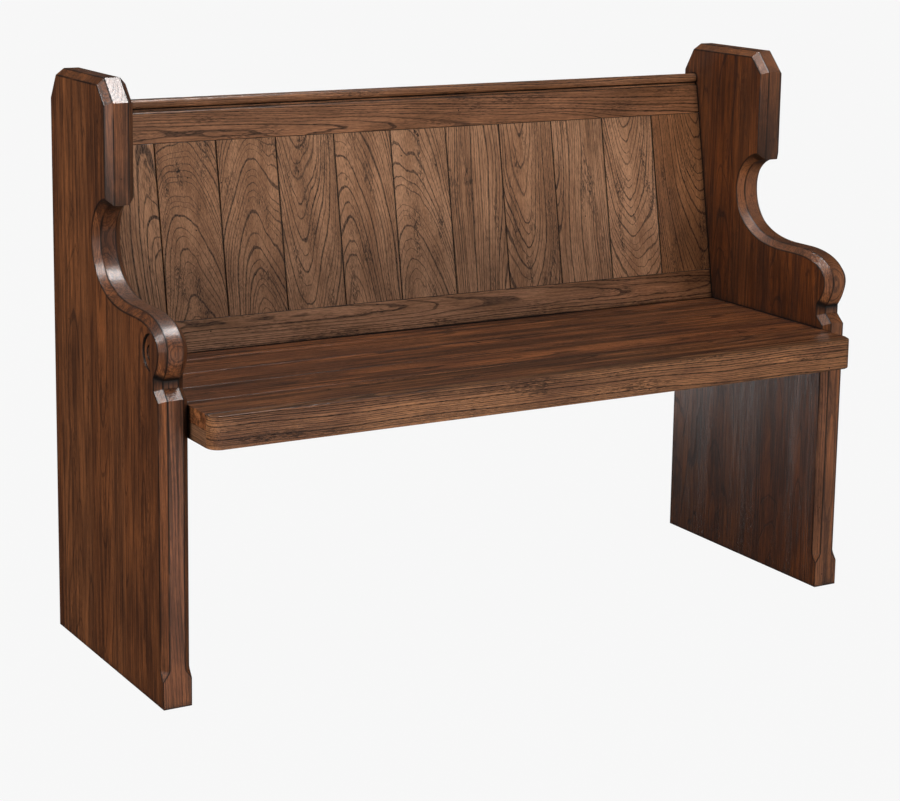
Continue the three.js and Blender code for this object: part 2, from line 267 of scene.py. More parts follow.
def glued_strips(t, grain, width):
    """Shifts the grain to a new log in each strip of a glued-up panel. Returns it and the strip's chance."""
    along, across, through = t.split(grain)
    wander = t.calc("SINE", t.calc("DIVIDE", across, STRIP_WANDER_SIZE))
    placed = t.calc("ADD", across, t.calc("MULTIPLY", wander, STRIP_WANDER))
    strip = t.calc("FLOOR", t.calc("DIVIDE", placed, width))
    red, green, blue = t.split(t.chance(strip, colour=True))
    centre = t.calc("MULTIPLY", t.calc("ADD", strip, 0.5), width)
    pith = t.calc("MULTIPLY", t.calc("SUBTRACT", green, 0.5), 1.9 * width)
    new_across = t.calc("ADD", t.calc("SUBTRACT", placed, centre), pith)
    new_along = t.calc("ADD", along, t.calc("MULTIPLY", red, LOG_LENGTH))
    slope = t.calc("MULTIPLY", t.calc("SUBTRACT", red, 0.5), LOG_SLOPE)
    depth = t.calc("ADD", t.calc("MULTIPLY", blue, PITH_DEPTH_RANGE), PITH_DEPTH)
    lifted = t.calc("ADD", t.calc("MULTIPLY", along, slope), depth)
    new_through = t.calc("ADD", through, lifted)
    return t.join(new_along, new_across, new_through), red


def growth_rings(t, grain, look):
    """The dark early-wood line of each ring, 0 to 1."""
    drift = t.vector("SUBTRACT", t.noise(grain, look["bend_size"], 1.0, colour=True), (0.5, 0.5, 0.5))
    bent = t.vector("ADD", grain, t.vector("MULTIPLY", drift, look["bend"]))
    _, across, through = t.split(bent)
    squared = t.calc("ADD", t.calc("MULTIPLY", across, across), t.calc("MULTIPLY", through, through))
    ripple = t.calc("MULTIPLY", t.calc("SUBTRACT", t.noise(grain, RIPPLE_SIZE, 1.0), 0.5), look["ripple"])
    smooth_radius = t.calc("SQRT", squared)
    radius = t.calc("ADD", smooth_radius, ripple)
    steepness = t.calc("DIVIDE", t.calc("ABSOLUTE", across), smooth_radius)
    narrowing = t.span(steepness, 0.0, 0.9, look["apex"], 1.0)
    years = t.calc("DIVIDE", radius, look["ring"])
    uneven = t.calc("MULTIPLY", t.noise_along(radius, look["ring"] * 3.4), 2.6)
    years = t.calc("ADD", years, uneven)
    share = t.calc("FRACT", years)
    luck = t.chance(t.calc("FLOOR", years))
    wide = t.calc("MULTIPLY", t.span(luck, 0.0, 1.0, look["line"] * 0.6, look["line"] * 1.4), narrowing)
    fading = t.calc("SUBTRACT", 1.0, t.span(t.calc("DIVIDE", share, wide), 0.6, 1.0, smooth=True))
    rising = t.span(share, 0.97, 1.0, smooth=True)
    strength = t.span(luck, 0.0, 1.0, 0.75, 1.0)
    return t.calc("MULTIPLY", t.calc("MAXIMUM", fading, rising), strength)


def pin_knots(t, grain):
    """A few dark pinholes, scattered through the wood."""
    place = t.vector("DIVIDE", grain, KNOT_SPACING)
    cells = t.node("ShaderNodeTexVoronoi", {"Vector": place, "Scale": 1.0})
    return t.span(cells.outputs["Distance"], 0.026, 0.042, 0.95, 0.0)


def oak(name, look):
    """Stained ring-porous oak that follows each piece's grain attribute: millimetres from its log's pith."""
    material = bpy.data.materials.new(name)
    t = Tree(material)
    grain = t.attribute("grain")["Vector"]
    tone = t.attribute("tone")["Fac"]
    if look.get("strip"):
        grain, luck = glued_strips(t, grain, look["strip"])
        tone = t.calc("ADD", tone, t.calc("MULTIPLY", t.calc("SUBTRACT", luck, 0.5), look["strip_tone"]))
    rings = growth_rings(t, grain, look)

    pores = t.span(t.noise(grain, PORE_SIZE, 1.0), 0.50, 0.57)
    coarse = t.span(t.noise(grain, COARSE_PORE_SIZE, 1.0), 0.56, 0.60)
    porous = t.span(t.noise(grain, POROUS_SIZE, 2.0), 0.49, 0.70, smooth=True)
    dashes = t.span(pores, 0.0, 1.0, look["dash"], 1.0)
    line = t.calc("MULTIPLY", rings, dashes)
    scattered = t.calc("MULTIPLY", pores, t.span(porous, 0.0, 1.0, 0.26, 0.75))
    clustered = t.calc("MULTIPLY", coarse, t.span(porous, 0.3, 1.0, 0.0, look["clusters"]))
    dark = t.calc("MAXIMUM", line, t.calc("MAXIMUM", scattered, clustered), clamp=True)
    dark = t.calc("MAXIMUM", dark, pin_knots(t, grain))

    fibres = t.noise(grain, FIBRE_SIZE, 2.0, 0.65)
    streaks = t.noise(grain, look["streak_size"], 2.0, 0.6)
    blotch = t.noise(grain, BLOTCH_SIZE, 3.0, 0.55)
    ground = t.mix(t.span(blotch, 0.3, 0.72, smooth=True), look["ground"], look["ground_deep"])
    streaked = t.span(tone, *STREAKED_TONE, look["streak"], look["streak"] * 0.25)
    streaked = t.calc("MULTIPLY", t.span(streaks, 0.42, 0.62, smooth=True), streaked)
    ground = t.mix(streaked, ground, look["line_colour"])
    ground = t.mix(t.span(fibres, 0.36, 0.70, 0.0, look["fibre"]), ground, look["line_colour"])
    colour = t.mix(t.calc("MULTIPLY", dark, look["line_depth"]), ground, look["line_colour"])
    tint = t.vector("MULTIPLY", t.join(tone, tone, tone), look["tone"])
    colour = t.vector("MULTIPLY", colour, t.vector("ADD", tint, (1.0, 1.0, 1.0)))

    # Ambient occlusion darkens recesses with settled glaze and painted shade; the short reach darkens joints
    # and cracks. The arris marks add glaze at arrises and painted shade in hollows and gouges.
    recess = t.node("ShaderNodeAmbientOcclusion", {"Distance": RECESS_REACH}, samples=10).outputs["AO"]
    speckle = t.span(t.noise(grain, SPECKLE_SIZE, 2.0), 0.3, 0.7, -0.12, 0.12)
    recess_glaze_and_shade = t.span(t.calc("ADD", recess, speckle), 0.30, 0.86, 0.88, 0.0, smooth=True)
    crack = t.node("ShaderNodeAmbientOcclusion", {"Distance": CRACK_REACH}, samples=10).outputs["AO"]
    packed = t.span(crack, 0.76, 0.965, 0.97, 0.0, smooth=True)
    worn = t.span(t.noise(grain, WEAR_SIZE, 3.0), 0.30, 0.46, 0.35, 1.0)
    arris = t.calc("MULTIPLY", t.calc("MULTIPLY", t.attribute("arris")["Fac"], worn), look["arris"])
    glaze_and_shade = t.calc("MAXIMUM", t.calc("MAXIMUM", recess_glaze_and_shade, packed), arris)
    colour = t.mix(glaze_and_shade, colour, look["glaze_and_shade"])

    waves = t.noise(grain, WAVE_SIZE, 1.0)
    low = t.calc("MULTIPLY", dark, -0.55)
    height = t.calc("ADD", low, t.calc("MULTIPLY", fibres, 0.25))
    fine = t.node("ShaderNodeBump", {"Strength": look["relief"], "Distance": FINE_RELIEF, "Height": height})
    broad = t.node(
        "ShaderNodeBump",
        {"Strength": 0.35, "Distance": BROAD_RELIEF, "Height": waves, "Normal": fine.outputs[0]},
    )
    polish = t.span(blotch, 0.3, 0.7, look["rough"] - 0.05, look["rough"] + 0.06)
    polish = t.calc("ADD", polish, t.calc("MULTIPLY", dark, 0.14))
    shader = t.node(
        "ShaderNodeBsdfPrincipled",
        {
            "Base Color": colour,
            "Roughness": polish,
            "Specular IOR Level": look["specular"],
            "Coat Weight": look["coat"],
            "Coat Roughness": 0.2,
            "Normal": broad.outputs[0],
            "Coat Normal": broad.outputs[0],
        },
    )
    t.node("ShaderNodeOutputMaterial", {"Surface": shader.outputs[0]})
    return material


BASE_LOOK = {
    "bend_size": (330, 85, 85),
    "bend": (0, 36, 36),
    "ripple": 1.9,
    "ring": 3.6,
    "line": 0.42,
    "apex": 0.28,
    "dash": 0.66,
    "clusters": 0.95,
    "line_depth": 1.0,
    "ground": srgb(186, 135, 98),
    "ground_deep": srgb(150, 104, 71),
    "line_colour": srgb(20, 13, 10),
    "streak": 0.12,
    "streak_size": (420, 4.5, 4.5),
    "fibre": 0.42,
    "tone": (0.11, 0.16, 0.22),
    # the colour of glaze and of painted shade
    "glaze_and_shade": srgb(15, 9, 6),
    "arris": 0.9,
    "relief": 0.5,
    "rough": 0.42,
    "specular": 0.22,
    "coat": 0.25,
}


def look(**changes):
    return {**BASE_LOOK, **changes}


LOOKS = {
    "end_panel_oak": look(
        strip=64.0, strip_tone=1.8, ground=srgb(142, 84, 46), ground_deep=srgb(100, 56, 28), streak=0.55,
        line_colour=srgb(28, 14, 8), line_depth=0.75, bend=(0, 14, 14), ripple=1.2, ring=3.4, line=0.34,
        fibre=0.55, clusters=0.4, coat=0.42, specular=0.28,
    ),
    "back_board_oak": look(),
    "back_rail_oak": look(
        ground=srgb(172, 120, 86), ground_deep=srgb(140, 94, 62), ring=3.0, bend=(0, 10, 10), clusters=0.5,
        fibre=0.5, streak=0.2, specular=0.16, coat=0.15, apex=0.4,
    ),
    "seat_oak": look(
        ground=srgb(178, 110, 66), ground_deep=srgb(126, 73, 43), line_colour=srgb(20, 11, 7), streak=0.7,
        streak_size=(520, 13, 13), fibre=0.5, line=0.5, apex=0.4, tone=(-0.13, 0.01, 0.13),
        ring=3.4, bend=(0, 16, 16), specular=0.14, coat=0.2, clusters=0.8,
    ),
    "under_seat_oak": look(
        ground=srgb(122, 84, 58), ground_deep=srgb(98, 66, 44), bend=(0, 15, 15), rough=0.6, specular=0.2,
        coat=0.1,
    ),
}


def steel(name):
    """Dulled zinc-plated steel with fine turning marks."""
    material = bpy.data.materials.new(name)
    t = Tree(material)
    place = t.node("ShaderNodeTexCoord").outputs["Object"]
    dull = t.noise(place, (0.004, 0.004, 0.004), 3.0)
    marks = t.noise(place, (0.0004, 0.0004, 0.0004), 1.0)
    colour = t.mix(t.span(dull, 0.35, 0.7), srgb(172, 166, 154), srgb(118, 110, 98))
    bump = t.node("ShaderNodeBump", {"Strength": 0.2, "Distance": 0.0001, "Height": marks})
    shader = t.node(
        "ShaderNodeBsdfPrincipled",
        {
            "Base Color": colour,
            "Metallic": 1.0,
            "Roughness": t.span(dull, 0.3, 0.7, 0.3, 0.5),
            "Normal": bump.outputs[0],
        },
    )
    t.node("ShaderNodeOutputMaterial", {"Surface": shader.outputs[0]})
    return material


# ---- meshes ----
def new_piece(name, vertices, faces):
    mesh = bpy.data.meshes.new(name)
    mesh.from_pydata([tuple(v) for v in vertices], [], [tuple(f) for f in faces])
    piece = bpy.data.objects.new(name, mesh)
    bpy.context.scene.collection.objects.link(piece)
    clean(piece)
    return piece


def clean(piece):
    """Merges doubled corners, drops empty faces and turns every face out."""
    made = bmesh.new()
    made.from_mesh(piece.data)
    bmesh.ops.remove_doubles(made, verts=made.verts, dist=2e-6)
    bmesh.ops.dissolve_degenerate(made, dist=1e-6, edges=made.edges)
    bmesh.ops.recalc_face_normals(made, faces=made.faces)
    made.to_mesh(piece.data)
    made.free()


def loft(name, rings):
    """A closed body through closed rings of the same number of points, capped at both ends."""
    count = len(rings[0])
    vertices = np.concatenate(rings)
    faces = [range(count), range(len(vertices) - count, len(vertices))]
    for ring in range(len(rings) - 1):
        low = ring * count
        for i in range(count):
            after = low + (i + 1) % count
            faces.append((low + i, after, after + count, low + i + count))
    return new_piece(name, vertices, faces)


def round_off(piece, width, least_angle=34, segments=2):
    """Eases every corner sharper than least_angle."""
    made = bmesh.new()
    made.from_mesh(piece.data)
    sharp = [
        e for e in made.edges
        if len(e.link_faces) == 2 and e.calc_face_angle(0) > math.radians(least_angle)
    ]
    bmesh.ops.bevel(
        made, geom=sharp, offset=width, segments=segments, affect="EDGES", profile=0.5, clamp_overlap=True,
    )
    made.to_mesh(piece.data)
    made.free()


def from_cad(node, ease):
    """A copy of a CAD piece with its flat faces whole and its corners eased by the given width."""
    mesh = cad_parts[node].data.copy()
    mesh.name = f"{node}_eased"
    piece = bpy.data.objects.new(mesh.name, mesh)
    bpy.context.scene.collection.objects.link(piece)
    made = bmesh.new()
    made.from_mesh(mesh)
    bmesh.ops.remove_doubles(made, verts=made.verts, dist=1e-6)
    bmesh.ops.dissolve_limit(
        made, angle_limit=math.radians(0.6), verts=made.verts, edges=made.edges,
        use_dissolve_boundaries=False,
    )
    made.to_mesh(mesh)
    made.free()
    round_off(piece, ease)
    return piece


def cut(piece, cutters):
    """Subtracts the cutters, which are then removed."""
    for cutter in cutters:
        step = piece.modifiers.new("cut", "BOOLEAN")
        step.operation = "DIFFERENCE"
        step.solver = "EXACT"
        step.object = cutter
    bpy.context.view_layer.update()
    shape = bpy.data.meshes.new_from_object(piece.evaluated_get(bpy.context.evaluated_depsgraph_get()))
    piece.modifiers.clear()
    piece.data = shape
    for cutter in cutters:
        bpy.data.objects.remove(cutter)
    clean(piece)


def shade(piece, angle=40):
    for face in piece.data.polygons:
        face.use_smooth = True
    piece.data.set_sharp_from_angle(angle=math.radians(angle))
    weighted = piece.modifiers.new("even_shading", "WEIGHTED_NORMAL")
    weighted.keep_sharp = True


def points_of(piece):
    places = np.empty(len(piece.data.vertices) * 3)
    piece.data.vertices.foreach_get("co", places)
    return places.reshape(-1, 3)


def lay_grain(piece, origin, along, across, pith=(0, 30), slope=0.05, sway=0.0, tone=0.0, start=0.0):
    """Stores where each point lies in its log: along the grain, and across and through it from the pith."""
    places = (points_of(piece) - np.array(origin)) / MM
    through = np.cross(along, across)
    run = places @ np.array(along)
    grain = np.column_stack([
        run + start,
        places @ np.array(across) - pith[0] + sway * run,
        places @ through + pith[1] + slope * run,
    ])
    layer = piece.data.attributes.new("grain", "FLOAT_VECTOR", "POINT")
    layer.data.foreach_set("vector", grain.astype(np.float32).ravel())
    layer = piece.data.attributes.new("tone", "FLOAT", "POINT")
    layer.data.foreach_set("value", np.broadcast_to(np.float32(tone), len(places)).copy())


def finish_piece(piece, material_name, *nodes):
    piece.data.materials.clear()
    piece.data.materials.append(MATERIALS[material_name])
    for face in piece.data.polygons:
        face.material_index = 0
    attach(piece, BODY)
    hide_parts(*nodes)


# ---- outlines ----
def arc(centre, radius, start, stop, steps):
    turns = np.radians(np.linspace(start, stop, steps + 1))
    return np.column_stack([centre[0] + radius * np.cos(turns), centre[1] + radius * np.sin(turns)])


def circle(centre, radius):
    return arc(centre, radius, 0, 360, SCREW_SIDES)[:-1]


def bezier(start, first, second, end, steps):
    t = np.linspace(0, 1, steps + 1)[:, None]
    start, first, second, end = map(np.array, (start, first, second, end))
    return (1 - t) ** 3 * start + 3 * (1 - t) ** 2 * t * first + 3 * (1 - t) * t ** 2 * second + t ** 3 * end


def panel_outline():
    """The panel's outline, anticlockwise in (depth, height), and the chamfer that each point carries."""
    shoulder = POST_BOTTOM - SHOULDER_RADIUS
    shoulder_back = POST_DEPTH + SHOULDER_RADIUS
    throat_depth, throat_top, throat_bottom = THROAT
    edge = np.concatenate([
        [(END_DEPTH - BACK_SLOPE[0], PEW_HEIGHT), (TOP_FRONT, PEW_HEIGHT), (POST_DEPTH, POST_TOP)],
        arc((POST_DEPTH, shoulder), SHOULDER_RADIUS, 90, 0, CURVE_STEPS),
        bezier((shoulder_back, shoulder), (shoulder_back, shoulder - 54), (ARM_BACK + 75, ARM_TOP),
               (ARM_BACK, ARM_TOP), CURVE_STEPS)[1:],
        bezier((ARM_FRONT, ARM_TOP), (ARM_FRONT - 58, ARM_TOP), (NOSE_FRONT, NOSE_HEIGHT + 30),
               (NOSE_FRONT, NOSE_HEIGHT), CURVE_STEPS),
        bezier((NOSE_FRONT, NOSE_HEIGHT), (NOSE_FRONT, NOSE_HEIGHT - 17), (throat_depth - 9, throat_top + 12),
               (throat_depth, throat_top), CURVE_STEPS)[1:],
        [(throat_depth, throat_bottom), (0, LEG_TOP), (0, STOP_TOP)],
    ])
    along = np.linspace(0, 1, STOP_STEPS + 1)[1:]
    stop = np.column_stack([np.zeros(STOP_STEPS), STOP_TOP + (STOP_TIP - STOP_TOP) * along])
    rest = [(0, 0), (END_DEPTH, 0), (END_DEPTH, PEW_HEIGHT - BACK_SLOPE[1])]
    fading = 1 - along * along * (3 - 2 * along)
    share = np.concatenate([np.ones(len(edge)), fading, np.zeros(len(rest))])
    return np.concatenate([edge, stop, rest]), np.maximum(share * CHAMFER, LEAST_CHAMFER)


def inward(points):
    """How far each outline point moves for each unit that its edges move in."""
    def turned(steps):
        steps = steps / np.linalg.norm(steps, axis=1)[:, None]
        return np.column_stack([-steps[:, 1], steps[:, 0]])
    first = turned(points - np.roll(points, 1, axis=0))
    second = turned(np.roll(points, -1, axis=0) - points)
    reach = 1 / (1 + (first * second).sum(axis=1))
    return (first + second) * reach[:, None]


def mitre_post_foot(placed, moved):
    """Under the post, the shoulder's inset curve stops where it meets the post's own inset line."""
    first = 3
    shoulder = slice(first, first + CURVE_STEPS)
    line = POST_DEPTH + moved[first]
    radius = SHOULDER_RADIUS + moved[first]
    meeting = POST_BOTTOM - SHOULDER_RADIUS + math.sqrt(radius ** 2 - moved[first] ** 2)
    curve = placed[shoulder]
    curve[curve[:, 0] < line + 0.001] = (line, meeting)


def eased_chamfer(width):
    """Rows across a chamfer of the given width at each point, from the face down to the edge.

    A row is how far it moves in, how far it stands off the face, and how much dark glaze its arris holds.
    """
    ease = np.minimum(EASE, 0.6 * width)
    fade = np.minimum(ARRIS_FADE, 0.3 * width)
    leg = ease / math.sqrt(2)
    near = (ease - leg) / 4
    zero = np.zeros_like(width)
    return [
        (width + ease + fade, zero, 0.0),
        (width + ease, zero, 1.0),
        (width + near, leg / 4, 1.0),
        (width - leg, leg, 1.0),
        (width - leg - fade, leg + fade, 0.0),
        (leg + fade, width - leg - fade, 0.0),
        (leg, width - leg, 1.0),
        (leg / 4, width + near, 1.0),
        (zero, width + ease, 1.0),
        (zero, width + ease + fade, 0.0),
    ]


def end_panel(name, side):
    """side is -1 on the left and 1 on the right."""
    points, width = panel_outline()
    ways = inward(points)
    ways[0] = (BACK_SLOPE[0] / BACK_SLOPE[1], -1)
    outer, inner = OUTER_HALF / MM, INNER_HALF / MM
    rows = [(moved, outer - away, glazed) for moved, away, glazed in eased_chamfer(width)]
    rows += [(moved, inner + away, glazed) for moved, away, glazed in reversed(eased_chamfer(width))]
    # glaze and painted shade in the hollows under the post's foot and the nose
    hollows = hollow_glaze_and_shade(points)
    rings, marks = [], []
    for i, (moved, from_middle, glazed) in enumerate(rows):
        placed = points + ways * moved[:, None]
        mitre_post_foot(placed, moved)
        ring = np.column_stack([side * from_middle, placed[:, 0], placed[:, 1]]) * MM
        rings.append(ring + (0, LEG_PLANE, 0))
        on_face = i in (0, len(rows) - 1)
        marks.append(np.full(len(points), glazed) if on_face else np.maximum(glazed, hollows))
    panel = loft(name, rings)
    cutters = [gouge(side, *sizes) for sizes in SCROLL_GOUGES]
    cutters.append(trench(side))
    cutters += [screw_hole(f"cleat_screw_{'left' if side < 0 else 'right'}_{i}") for i in (1, 2, 3)]
    cut(panel, cutters)
    store_glaze_and_shade(panel, np.concatenate(rings), np.concatenate(marks))
    return panel


def hollow_glaze_and_shade(points):
    """How much glaze and painted shade darken each outline point: under the post's foot and under the nose.
    """
    glaze_and_shade = np.zeros(len(points))
    for place, reach, most in HOLLOW_GLAZE_AND_SHADE:
        away = np.linalg.norm(points - np.array(place), axis=1)
        glaze_and_shade = np.maximum(glaze_and_shade, most * np.clip(1 - away / reach, 0, 1))
    return glaze_and_shade


def store_glaze_and_shade(panel, places, marks):
    """Stores the glaze and painted shade of each corner: its row's mark, or the gouge's where a gouge has cut
    it.
    """
    rows = kdtree.KDTree(len(places))
    for i, place in enumerate(places):
        rows.insert(place, i)
    rows.balance()
    layer = panel.data.attributes.new("arris", "FLOAT", "POINT")
    for corner, stored in zip(panel.data.vertices, layer.data):
        _, nearest, distance = rows.find(corner.co)
        below_face = OUTER_HALF - abs(corner.co.x)
        in_gouge = GOUGE_SKIN * MM < below_face < GOUGE_LIMIT * MM
        if distance < SAME_PLACE:
            stored.value = marks[nearest]
        elif in_gouge:
            stored.value = GOUGE_GLAZE_AND_SHADE


def gouge(side, radius, widest, deep):
    """A crescent of V section whose outer wall is the steeper one."""
    outside = 0.6
    face = OUTER_HALF / MM
    rings = []
    for turn in np.radians(np.linspace(-SCROLL_REACH, SCROLL_REACH, GOUGE_STEPS + 1)):
        share = max(0.03, (1 - (turn / math.radians(SCROLL_REACH)) ** 2) ** 0.8)
        wide = widest * share
        spread = outside / deep
        stations = (
            (radius + 0.3 * wide * spread, face + outside),
            (radius - 0.3 * wide, face - deep * share),
            (radius - wide * (1 + spread * 0.7), face + outside),
        )
        ring = [
            (side * x, SCROLL[0] + r * math.cos(turn), SCROLL[1] + r * math.sin(turn))
            for r, x in stations
        ]
        rings.append(np.array(ring) * MM + (0, LEG_PLANE, 0))
    return loft("gouge", rings)


def box_piece(name, low, high):
    corners = [(x, y, z) for x in (low[0], high[0]) for y in (low[1], high[1]) for z in (low[2], high[2])]
    faces = [(0, 1, 3, 2), (4, 6, 7, 5), (0, 4, 5, 1), (2, 3, 7, 6), (0, 2, 6, 4), (1, 5, 7, 3)]
    return new_piece(name, np.array(corners), faces)


def trench(side):
    """The raked housing in a panel's inner face that takes the back."""
    inner = INNER_HALF / MM
    near, far = sorted((side * (inner - 1), side * (inner + TRENCH_DEEP + GAP)))
    blank = box_piece(
        "trench",
        np.array((near, -GAP, -TRENCH_FOOT)) * MM,
        np.array((far, RAIL_THICK + GAP, TRENCH_TOP + GAP)) * MM,
    )
    blank.data.transform(raked_place())
    return blank


def raked_place():
    foot = Vector((0, LEG_PLANE + BACK_FOOT[0] * MM, BACK_FOOT[1] * MM))
    return Matrix.Translation(foot) @ Matrix.Rotation(-RAKE, 4, "X")


def screw_hole(node):
    """A cutter round one of the cleats' screws."""
    low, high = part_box(node)
    centre = (low + high) / 2
    section = circle((centre.y, centre.z), (SCREW_CREST + GAP) * MM)
    rings = [np.insert(section, 0, x, axis=1) for x in (low.x - GAP * MM, high.x + GAP * MM)]
    return loft("hole", rings)


# ---- seat nosing and cap, with knocks along their arrises ----
def chip(places, centre, length, depth):
    share = np.clip(1 - np.abs(places - centre) / (length / 2), 0, 1)
    return depth * np.sqrt(share)


def knocks(places, chips, seed):
    """How deep the arris is knocked in at each place: the given chips, and small seeded ones."""
    luck = np.random.default_rng(seed)
    deep = np.zeros(len(places))
    for centre, length, depth in chips:
        deep = np.maximum(deep, chip(places, centre, length, depth))
    for _ in range(SMALL_CHIPS):
        centre = luck.uniform(places.min(), places.max())
        length = luck.uniform(3, 11)
        deep = np.maximum(deep, chip(places, centre, length, luck.uniform(0.25, 0.8)))
    return deep * luck.uniform(0.65, 1.0, len(places))


def seat_nosing():
    """The lipping, as rings of its plan from the bottom to the top, its front arris eased and knocked."""
    low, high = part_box("seat_nosing")
    left, right = low.x / MM, high.x / MM
    front, back = low.y / MM, high.y / MM
    top, bottom = high.z / MM, low.z / MM
    r = NOSING_CORNER
    run = np.arange(left + r, right - r, NOSING_STATION)[1:]
    plan = np.concatenate([
        [(left, back)],
        arc((left + r, front + r), r, 180, 270, CORNER_STEPS),
        np.column_stack([run, np.full(len(run), front)]),
        arc((right - r, front + r), r, 270, 360, CORNER_STEPS),
        [(right, back)],
    ])
    ways = inward(plan)
    deep = knocks(plan[:, 0], NOSING_CHIPS, NOSING_SEED)
    deep[[0, -1]] = 0
    e = NOSING_EASE
    rows = [(e, bottom, 0.0)]
    for turn in EASE_TURNS:
        rows.append((e - e * math.sin(turn), bottom + e - e * math.cos(turn), 0.0))
    rows.append((0, bottom + e, 0.0))
    rows.append((0, top - e - KNOCK_REACH, 0.0))
    rows.append((0, top - e, KNOCK_BESIDE))
    for turn in EASE_TURNS:
        share = 1.0 - abs(turn - EASE_MIDDLE) * 0.5
        rows.append((e - e * math.cos(turn), top - e + e * math.sin(turn), share))
    rows.append((e, top, KNOCK_BESIDE))
    rows.append((e + KNOCK_REACH, top, 0.0))
    rings = []
    for moved, height, share in rows:
        knocked = deep * share
        inset = np.full(len(plan), float(moved))
        inset[[0, -1]] = min(moved, NOSING_END_EASE)
        placed = plan + ways * (inset + knocked * KNOCK_IN)[:, None]
        rings.append(np.column_stack([placed, height - knocked * KNOCK_DOWN]) * MM)
    return loft("seat_nosing_shaped", rings)


def back_cap():
    """The moulded cap: a round bead in front over a quirk, a flat top and a rounded back corner."""
    foot = CAP_LOW + CAP_LIP
    bead = (CAP_TOP - foot) / 2
    back = RAIL_THICK + CAP_BACK_PROUD
    section = np.concatenate([
        [(CAP_QUIRK, CAP_LOW), (back, CAP_LOW)],
        arc((back - CAP_BACK_ROUND, CAP_TOP - CAP_BACK_ROUND), CAP_BACK_ROUND, 0, 90, 10),
        arc((bead - CAP_PROUD, CAP_TOP - bead), bead, 90, 270, 30),
        [(CAP_QUIRK, foot - 1)],
    ])
    left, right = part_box("back_cap_rail")
    run = np.linspace(left.x / MM, right.x / MM, CAP_STATIONS)
    deep = knocks(run, CAP_CHIPS, CAP_SEED)
    ways = inward(section)
    front = np.clip((bead - section[:, 0]) / bead, 0, 1)
    upper = np.clip((section[:, 1] - foot) / bead - 0.2, 0, 1)
    rings = []
    for x, knocked in zip(run, deep):
        placed = section + ways * (front * upper * knocked)[:, None]
        ring = np.column_stack([np.full(len(placed), x), placed]) * MM
        rings.append(ring)
    cap = loft("back_cap_shaped", rings)
    cap.data.transform(raked_place())
    return cap


# ---- screws ----
def screw_ring(radius, depth):
    """radius is one number, or one for each point of the ring."""
    return np.column_stack([
        radius * np.cos(SCREW_TURNS), radius * np.sin(SCREW_TURNS), np.full(SCREW_SIDES, -depth),
    ]) * MM


def thread_radius(depth, long):
    """The radius round the shank at this depth: a thread that tapers towards the tip."""
    phase = (depth / SCREW_PITCH - SCREW_TURNS / (2 * math.pi)) % 1
    taper = np.clip((long - depth) / SCREW_TIP, 0.12, 1)
    crest = np.clip(1 - np.abs(phase - 0.5) * 4, 0, 1)
    return (SCREW_CORE + (SCREW_CREST - SCREW_CORE) * crest) * taper


def screw(node):
    """A threaded countersunk screw with a cross recess, in the place of its CAD piece."""
    low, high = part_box(node)
    size = high - low
    axis = max(range(3), key=lambda i: size[i])
    long = size[axis] / MM
    rings = [
        screw_ring(SCREW_HEAD - 0.3, 0.0),
        screw_ring(SCREW_HEAD, 0.25),
        screw_ring(SCREW_CREST, SCREW_HEAD_HIGH),
    ]
    for depth in np.arange(SCREW_HEAD_HIGH + SCREW_PLAIN, long - 0.4, SCREW_PITCH / 5):
        rings.append(screw_ring(thread_radius(depth, long), depth))
    rings.append(screw_ring(0.15, long))
    piece = loft(f"{node}_shaped", rings)
    arms = [
        box_piece("arm", np.array((-x, -y, -SLOT_DEEP)) * MM, np.array((x, y, 1.0)) * MM)
        for x, y in ((SLOT_REACH, SLOT_HALF), (SLOT_HALF, SLOT_REACH))
    ]
    cut(piece, arms)
    centre = (low + high) / 2
    if axis == 2:
        centre.z = low.z
        turn = Matrix.Rotation(math.pi, 4, "X")
    else:
        inward_way = 1 if centre.x < 0 else -1
        centre.x = high.x if inward_way > 0 else low.x
        turn = Matrix.Rotation(inward_way * math.pi / 2, 4, "Y")
    piece.data.transform(Matrix.Translation(centre) @ turn)
    return piece


# ---- the pew ----
BOARD_EASE = 0.5
RAIL_EASE = 1.2
SEAT_EASE = 0.9
SUPPORT_EASE = 0.8
SEAT_SEED = 21
SUPPORT_SEED = 8
X_WAY = (1.0, 0.0, 0.0)
Y_WAY = (0.0, 1.0, 0.0)
Z_WAY = (0.0, 0.0, 1.0)
UP_SLOPE = (0.0, math.sin(RAKE), math.cos(RAKE))

# The figure of each back board: pith across and in front (mm), slope, sway, tone.
BOARD_FIGURES = (
    ((52, 22), 0.04, 0.12, 0.0),
    ((-12, 60), 0.22, 0.05, -0.4),
    ((16, 34), 0.19, -0.02, -0.2),
    ((-22, 26), -0.17, 0.02, 0.3),
    ((-38, 26), 0.12, 0.07, 0.2),
    ((-30, 62), 0.17, 0.06, 0.9),
    ((64, 16), 0.03, 0.00, 0.2),
    ((-18, 22), -0.10, 0.02, 0.0),
    ((-70, 30), -0.05, 0.03, 0.4),
    ((-4, 28), -0.18, 0.02, 0.5),
    # The last board's dark tone is painted shade, where the right panel shades it.
    ((38, 26), -0.15, 0.04, -2.0),
)


# Painted shade and light: the panels' inner faces are painted darker than their outer ones, as shade, and the
# edges are painted paler, as light.
INNER_FACE_PAINTED_SHADE = -1.9
FACE_SKIN = 0.1 * MM
# side, word, the grain's start and the edges' tone, which is painted light
PANELS = ((-1, "left", 310.0, 0.5), (1, "right", 4870.0, 1.8))


